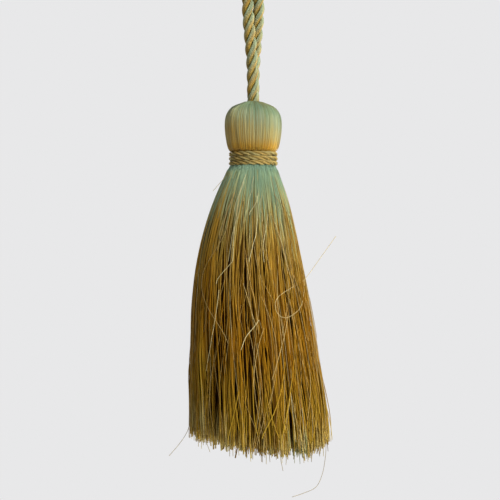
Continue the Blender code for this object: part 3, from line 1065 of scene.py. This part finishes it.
def thread_spots(places, lock, small, depth):
    """The places in the round that threads pass on their way down, drawn to their locks."""
    count, points = depth.shape
    below = depth[..., None]
    loose = softly(below, *LOOSE_DEPTHS)
    hold = 1 - SPLAY * softly(below, *SPLAY_DEPTHS)
    big_pull = softly(below, *LOCK_DEPTHS) * hold * lock_pull[lock][:, None, None]
    big_pull = big_pull * repointed(lock_grip, points)[lock]
    small_pull = softly(below, *SMALL_LOCK_DEPTHS) * hold * SMALL_LOCK_PULL
    own_wander = LEAST_WANDER + MORE_WANDER * chance.uniform(0, 1, (count, 1, 1)) ** 3
    own_wander = own_wander * (1 + WILDER * softly(below, *WILDER_DEPTHS))
    spot = places[:, None] + np.zeros((count, points, 1))
    spot = spot + big_pull * (lock_places[lock][:, None] - spot)
    spot = spot + small_pull * (small_places[small] - places)[:, None] * (1 - big_pull)
    spot = spot + loose * repointed(lock_drift, points)[lock]
    spot = spot + loose * repointed(small_drift, points)[small]
    spot = spot + loose * own_wander * drifts(count, points, 5)
    spot = spot + FRIZZ * loose * drifts(count, points, 10)
    return folded(spot, depth)


print(f"locks have drawn their threads in {LOCK_DEPTHS[1] / MM:.0f} mm below the head's top")

# %% What the materials read of a thread
PAINTED_SHADE_INSETS = (0.01, 0.15)  # painted shade: how far in a thread begins to be darkened, and is quite dark, of the radius
PAINTED_SHADE_DEPTHS = (16 * MM, 32 * MM)  # there is none at the neck, where the threads lie close
TIP_SHADE_FADES = (-2 * MM, 7 * MM)  # its last 7 mm get less and less painted shade, and 2 mm past the tip none would
SHADE_SPREAD = 0.24
WARMEST = 1.1  # a thread with no shade at all would be this warm
PALE_COOLER = 1.2  # and the palest one this much less, because pale threads have less gold in them
WARMTH_SPREAD = 0.18
DYE_SPREAD = 4 * MM  # how much further down one thread stays green than another
SIDE_SHIFT = 7 * MM  # how much higher the gold begins at the sides than in the middle
SIDE_BEGINS = 0.4  # of the radius, where that is even
LEFT_SHIFT = 8 * MM  # and how much higher still on the left, away from the light, so the painted sheen ends higher there
DYE_SHIFT_DEPTHS = (15.5 * MM, 21 * MM)  # above these the threads agree
GREEN_TIP_DEPTH = 24 * MM  # where on the dye's ramp the colour of a greener tip lies
GREEN_TIP_DEPTHS = (72 * MM, 86 * MM)  # where in the skirt such tips begin and are quite green


def thread_marks(places, lock, small, spot, depth):
    """The shades of threads, their warmth, their painted shade, and how far their dye is shifted."""
    count = len(places)
    inset = 1 - np.hypot(spot[..., 0], spot[..., 1])
    to_tip = depth[:, -1:] - depth
    # painted shade: threads further inside the skirt are darkened, less so towards their tips
    painted_shade = softly(inset, *PAINTED_SHADE_INSETS) * softly(depth, *PAINTED_SHADE_DEPTHS)
    painted_shade = painted_shade * softly(to_tip, *TIP_SHADE_FADES)
    shades = np.clip(0.5 + lock_shade[lock] + chance.normal(0, SHADE_SPREAD, count), 0, 1)
    warmth = WARMEST - PALE_COOLER * shades + chance.normal(0, WARMTH_SPREAD, count)
    warmth = np.clip(warmth, 0, 1)[:, None]
    golden_sides = SIDE_SHIFT * (np.abs(places[:, :1]) - SIDE_BEGINS)
    golden_sides = golden_sides + LEFT_SHIFT * np.maximum(0, -places[:, :1])
    dye_shift = DYE_SPREAD * chance.normal(0, 0.5, (count, 1)) + golden_sides
    dye_shift = dye_shift * softly(depth, *DYE_SHIFT_DEPTHS)
    green_tip = softly(depth, *GREEN_TIP_DEPTHS) * small_greener[small][:, None]
    dye_shift = dye_shift - (depth - GREEN_TIP_DEPTH) * green_tip
    return shades, warmth, painted_shade, dye_shift


def skirt_threads(places, points):
    """The centre lines of threads at these places, and what the materials read of them."""
    lock = nearest(places, lock_places)
    small = nearest(places, small_places)
    depth = thread_depths(places, lock, small, points)
    spot = thread_spots(places, lock, small, depth)
    marks = thread_marks(places, lock, small, spot, depth)
    return hang(spot[..., 0], spot[..., 1], depth), *marks


print(f"the gold begins {LEFT_SHIFT / MM:.0f} mm higher on the far left than on the far right")

# %% The skirt's outer and inner threads
OUTER_THREADS = 3300
INNER_THREADS = 1000
OUTER_POINTS = 30
INNER_POINTS = 12
OUTER_PIECES = 4
OUTER_RADIUS = 0.11 * MM
INNER_RADIUS = 0.2 * MM
OUTER_BAND = 0.32  # of the skirt's radius, how far in the outer threads begin
INNER_ROUND = 0.72  # of the radius, as far out as the inner ones do

outer_shares = 1 - OUTER_BAND * chance.uniform(0, 1, OUTER_THREADS) ** 1.4
outer = skirt_threads(round_places(OUTER_THREADS, outer_shares), OUTER_POINTS)
tapered = OUTER_RADIUS * np.concatenate([np.ones(OUTER_POINTS - 2), [0.9, 0.6]])
which = np.arange(OUTER_THREADS) % OUTER_PIECES
for number in range(OUTER_PIECES):
    lines, *marks = (values[which == number] for values in outer)
    piece = tubes(f"skirt_threads_{number + 1}", lines, tapered, THREAD_SIDES, *marks)
    belongs(piece, loose_yarn, "yarn", "yarn_bundle")

inner_shares = INNER_ROUND * np.sqrt((np.arange(INNER_THREADS) + 0.5) / INNER_THREADS)
lines, *marks = skirt_threads(round_places(INNER_THREADS, inner_shares), INNER_POINTS)
inner = tubes("inner_threads", lines, INNER_RADIUS, THREAD_SIDES, *marks)
belongs(inner, loose_yarn, "yarn", "yarn_bundle")

# %% [markdown]
# ## Loose threads
#
# A few threads have left their locks. Most follow the skirt with a will of their own, and cross over
# the locks on its surface. Some were broken or pulled out and make the curls and ends that catch the
# light in the photograph, and others slant over the hem. These are placed by the photograph's pixels.

# %% Lines that leave the locks
BROKEN_EVERY = 6  # one thread in so many is broken
BROKEN_LENGTH = 0.7  # of the whole length
LEAVING_SHORT = 3 * MM  # how much shorter than the hem's line such a thread may be
LEAVING_DEPTHS = (17 * MM, 50 * MM)  # where it begins to leave its place, and is free
LIFT = 0.03  # how far it rises off the skirt or sinks in, as a share of the radius
INSIDE = 0.25  # how far in a thread lies before it comes out, likewise
COMES_OUT_IN = 5 * MM  # the depth that it comes out over


def crossing_lines(shares, points, sway_size, sway_bends, out_at=None):
    """Lines on the skirt's surface that leave their places, and the depths along them.

    Each stays inside the skirt down to its own depth, out_at, where that is given.
    """
    count = len(shares)
    places = round_places(count, shares)
    hem = eased(HEM_LINE, places[:, 0] * SKIRT_OUTLINE[-1][1])
    lengths = hem - LEAVING_SHORT * chance.uniform(0, 1, count)
    broken = np.arange(count) % BROKEN_EVERY == 0
    lengths = np.where(broken, lengths * BROKEN_LENGTH, lengths)
    depth = depths_down(lengths, points)
    loose = softly(depth, *LEAVING_DEPTHS)
    angle = np.arctan2(places[:, 0], -places[:, 1])[:, None]
    angle = angle + sway_size * loose * wander(count, points, sway_bends)
    far = shares[:, None] + LIFT * loose * wander(count, points, 4)
    if out_at is not None:
        still_inside = 1 - softly(depth, out_at[:, None] - COMES_OUT_IN, out_at[:, None])
        far = far - INSIDE * still_inside
    return hang(far * np.sin(angle), -far * np.cos(angle), depth), depth


print(f"one in {BROKEN_EVERY} of these is broken, at {BROKEN_LENGTH:.0%} of its length")

# %% Threads that cross the locks, and fine hairs
CROSSING_THREADS = 340
CROSSING_RADIUS = 0.095 * MM
FINE_HAIRS = 120
HAIR_RADIUS = 0.06 * MM
LOOSE_POINTS = 30

shares = chance.uniform(0.985, 1.02, CROSSING_THREADS)
lines, depth = crossing_lines(shares, LOOSE_POINTS, sway_size=0.13, sway_bends=3)
dye_shift = -DYE_SPREAD * chance.normal(0.3, 1, (CROSSING_THREADS, 1))
crossing = tubes(
    "crossing_threads",
    lines,
    CROSSING_RADIUS,
    THREAD_SIDES,
    chance.uniform(0.45, 1, CROSSING_THREADS),
    warmth=chance.uniform(0, 0.4, (CROSSING_THREADS, 1)),
    dye_shift=dye_shift * softly(depth, 17 * MM, 26 * MM),
)
belongs(crossing, loose_yarn, "yarn", "yarn_bundle")

out_at = chance.uniform(18 * MM, 60 * MM, FINE_HAIRS)
shares = chance.uniform(1.0, 1.05, FINE_HAIRS)
lines, _ = crossing_lines(shares, LOOSE_POINTS, sway_size=0.22, sway_bends=5, out_at=out_at)
hairs = tubes(
    "fine_hairs",
    lines,
    HAIR_RADIUS,
    THREAD_SIDES,
    chance.uniform(0.3, 0.9, FINE_HAIRS),
    warmth=chance.uniform(0.4, 1, (FINE_HAIRS, 1)),
)
belongs(hairs, pale_yarn, "yarn", "yarn_bundle")

# %% Where the photograph shows threads that have come out
STRAY_THREADS = (  # shade, warmth, pixels across and down; the shade is painted light and shade: how brightly each thread is seen lit
    (0.6, 0.0, ((246, 174), (241, 188), (238, 203), (234, 234), (233, 257), (232, 262))),
    (0.9, 0.2, ((232, 262), (219, 277), (216, 284))),
    (0.7, 0.0, ((257, 196), (258, 210), (256, 234), (254, 241), (250, 257), (249, 262))),
    (0.6, 0.0, ((268, 214), (266, 229), (263, 246), (264, 262))),
    (0.8, 0.5, ((275, 222), (282, 244), (288, 268), (294, 288))),
    (0.4, 0.0, ((244, 181), (242, 188), (237, 199), (235, 206), (234, 211))),
    (0.3, 0.6, ((235, 193), (230, 203), (227, 213), (223, 226), (222, 232), (217, 251))),
    (0.3, 0.5, ((232, 199), (227, 210), (225, 217), (220, 231), (219, 239))),
    (0.5, 0.1, ((258, 193), (257, 200), (254, 206), (250, 212), (249, 215))),
    (0.3, 0.6, ((270, 212), (274, 221), (276, 229), (280, 239), (282, 248), (286, 262))),
    (0.3, 0.1, ((262, 195), (260, 203), (261, 210), (263, 217), (262, 222))),
    (0.3, 0.6, ((274, 194), (278, 200), (283, 206), (288, 214), (292, 221), (294, 226))),
    (0.3, 0.1, ((254, 176), (252, 184), (252, 190), (249, 198), (248, 203), (246, 216))),
    (0.3, 0.1, ((240, 205), (239, 213), (236, 222), (232, 235), (231, 243), (228, 262))),
    (0.6, 0.6, ((243, 283), (248, 299), (254, 320), (258, 327))),
    (1.0, 0.1, ((259, 320), (254, 327), (246, 337), (241, 350))),
    (0.7, 0.7, ((264, 328), (259, 344), (255, 366), (253, 390))),
    (0.7, 0.6, ((288, 315), (285, 333), (278, 360), (272, 380))),
    (0.8, 0.2, ((219, 290), (216, 313), (212, 337), (206, 371))),
    (0.7, 0.8, ((246, 258), (250, 281), (255, 303), (259, 334))),
    (0.7, 0.3, ((226, 176), (220, 183), (213, 191))),
    (0.8, 0.4, (
        (336, 236), (321, 257), (304, 280), (291, 288), (278, 297), (275, 306),
        (278, 314), (285, 318), (294, 314), (301, 306), (304, 291), (304, 280),
    )),
    (0.2, 0.5, ((191, 420), (187, 432), (180, 443), (169, 456))),
    (0.2, 0.5, ((279, 440), (280, 455), (283, 471))),
    (0.1, 0.5, ((324, 430), (326, 445), (325, 460), (322, 475), (316, 487), (304, 493), (292, 497))),
    (0.2, 0.5, ((204, 425), (206, 440), (210, 452))),
    (0.2, 0.5, ((300, 440), (303, 452), (304, 463))),
    (0.4, 0.0, ((291, 396), (292, 405), (294, 425), (296, 442))),
    (0.4, 0.0, ((302, 408), (303, 420), (304, 435), (305, 450))),
)
SLANTING_THREADS = (  # at the hem, where locks splay and their edges cross: columns as above
    (0.65, 0.0, ((285, 362), (283, 380), (280, 395), (274, 413), (268, 425), (264, 433), (262, 439))),
    (0.7, 0.0, ((294, 360), (292, 380), (290, 395), (287, 413), (284, 428), (282, 439), (281, 450))),
    (0.55, 0.1, ((252, 366), (253, 382), (253, 395), (254, 415), (256, 428), (258, 436))),
    (0.5, 0.2, ((265, 388), (268, 404), (271, 415), (275, 428), (279, 438))),
    (0.6, 0.0, ((313, 370), (315, 385), (317, 398), (320, 415), (325, 434), (327, 440))),
    (0.55, 0.1, ((239, 390), (236, 405), (233, 418), (230, 430), (228, 439), (228, 445))),
    (0.5, 0.2, ((232, 380), (234, 396), (236, 410), (238, 423), (239, 431))),
)
print(len(STRAY_THREADS), "strays and", len(SLANTING_THREADS), "slanting threads")

# %% Threads placed by pixels
STRAY_RADIUS = 0.06 * MM
SLANTING_RADIUS = 0.11 * MM
PLACED_POINTS = 40
PLACED_SIDES = 4
ABOVE_SKIRT = 0.6 * MM
NEARER_ROUNDS = 4  # how often the place is worked out again from the last one


def on_skirt(across, down):
    """The place just above the skirt's surface, or beside it, that a pixel shows."""
    forward = 10 * MM
    for _ in range(NEARER_ROUNDS):
        x, _, z = from_photo(across, down, forward)
        radius = eased(SKIRT_OUTLINE, HEAD_TOP - z)
        sideways = x - eased(LEAN, HEAD_TOP - z)
        forward = math.sqrt(max(radius**2 - sideways**2, (radius / 4) ** 2)) + ABOVE_SKIRT
    return from_photo(across, down, forward)


def placed_threads(name, table, radius, material):
    """A piece of threads that lie where the table's pixels show them."""
    lines = []
    for _, _, pixels in table:
        line, _ = resampled([on_skirt(across, down) for across, down in pixels], 0.1 * MM)
        chosen = np.linspace(0, len(line) - 1, PLACED_POINTS).round().astype(int)
        lines.append(line[chosen])
    piece = tubes(
        name,
        np.array(lines),
        radius,
        PLACED_SIDES,
        [shade for shade, _, _ in table],
        warmth=[[warmth] for _, warmth, _ in table],
        sideways=(0.05, -1, 0.05),
    )
    return belongs(piece, material, "yarn", "yarn_bundle")


placed_threads("stray_threads", STRAY_THREADS, STRAY_RADIUS, pale_yarn)
placed_threads("slanting_threads", SLANTING_THREADS, SLANTING_RADIUS, loose_yarn)

# %% [markdown]
# ## Floor, light and background
#
# The photograph was taken in soft daylight, and what lies behind the tassel is pale. Here a pale
# floor lies well below it. The main soft light stands to the front right, and another low on the
# right, where a pale surface under the tassel would throw light back. Weaker ones stand above and to
# the left, and a wide one behind makes the glow between the loose threads.

# %% Floor
FLOOR_HEIGHT = -600 * MM
FLOOR_RADIUS = 900 * MM
FLOOR_THICKNESS = 4 * MM
bpy.ops.mesh.primitive_cylinder_add(
    vertices=96,
    radius=FLOOR_RADIUS,
    depth=FLOOR_THICKNESS,
    location=(0, 0, FLOOR_HEIGHT - FLOOR_THICKNESS / 2),
)
floor = bpy.context.object
floor.name = "floor"
floor_paint = bpy.data.materials.new("floor_paint")
floor_paint.use_nodes = True
floor_shader = floor_paint.node_tree.nodes["Principled BSDF"]
floor_shader.inputs["Base Color"].default_value = (0.7, 0.7, 0.7, 1)
floor_shader.inputs["Roughness"].default_value = 0.8
floor.data.materials.append(floor_paint)
print(f"floor {-FLOOR_HEIGHT / MM:.0f} mm below the hook")


# %% Lights
def soft_light(name, place, width, power, colour):
    """A round soft light that shines on the tassel's middle."""
    data = bpy.data.lights.new(name, "AREA")
    data.shape = "DISK"
    data.size = width
    data.energy = power
    data.color = colour
    lamp = bpy.data.objects.new(name, data)
    bpy.context.scene.collection.objects.link(lamp)
    lamp.location = place
    aim = np.array([0, 0, HEAD_TOP - HEM_DEPTH / 2]) - np.array(place)
    tilt = math.atan2(math.hypot(aim[0], aim[1]), -aim[2])
    lamp.rotation_euler = (tilt, 0, math.atan2(aim[1], aim[0]) - math.pi / 2)
    print(f"{name}: {power} W from {np.linalg.norm(aim):.2f} m")


soft_light("key", (0.58, -0.58, 0.28), width=0.5, power=11.5, colour=(1, 0.98, 0.94))
soft_light("bounce", (0.7, -0.25, -0.55), width=0.5, power=8.8, colour=(1, 0.98, 0.94))
soft_light("sky", (-0.38, -0.4, 0.7), width=0.5, power=3.6, colour=(0.97, 0.98, 1))
soft_light("fill", (-0.6, -0.5, -0.3), width=0.5, power=0.5, colour=(0.98, 0.98, 1))
soft_light("back", (0, 1.3, -0.05), width=0.8, power=12, colour=(1, 0.99, 0.97))

# %% Background
AMBIENT = 0.15  # the room's own light, from all sides
world = bpy.data.worlds.new("studio")
bpy.context.scene.world = world
world.use_nodes = True
tree = world.node_tree
ambient = tree.nodes["Background"]
ambient.inputs["Color"].default_value = (1, 0.98, 0.95, 1)
ambient.inputs["Strength"].default_value = AMBIENT
seen = add_node(tree, "ShaderNodeBackground")
seen.inputs["Color"].default_value = from_srgb(232, 232, 233)
choose = add_node(tree, "ShaderNodeMixShader")
ray = add_node(tree, "ShaderNodeLightPath")
tree.links.new(ray.outputs["Is Camera Ray"], choose.inputs["Fac"])
tree.links.new(ambient.outputs["Background"], choose.inputs[1])
tree.links.new(seen.outputs["Background"], choose.inputs[2])
tree.links.new(choose.outputs["Shader"], tree.nodes["World Output"].inputs["Surface"])
bpy.context.scene.view_settings.view_transform = "Standard"
print("the camera sees a pale background, and the room's own light has a strength of", AMBIENT)
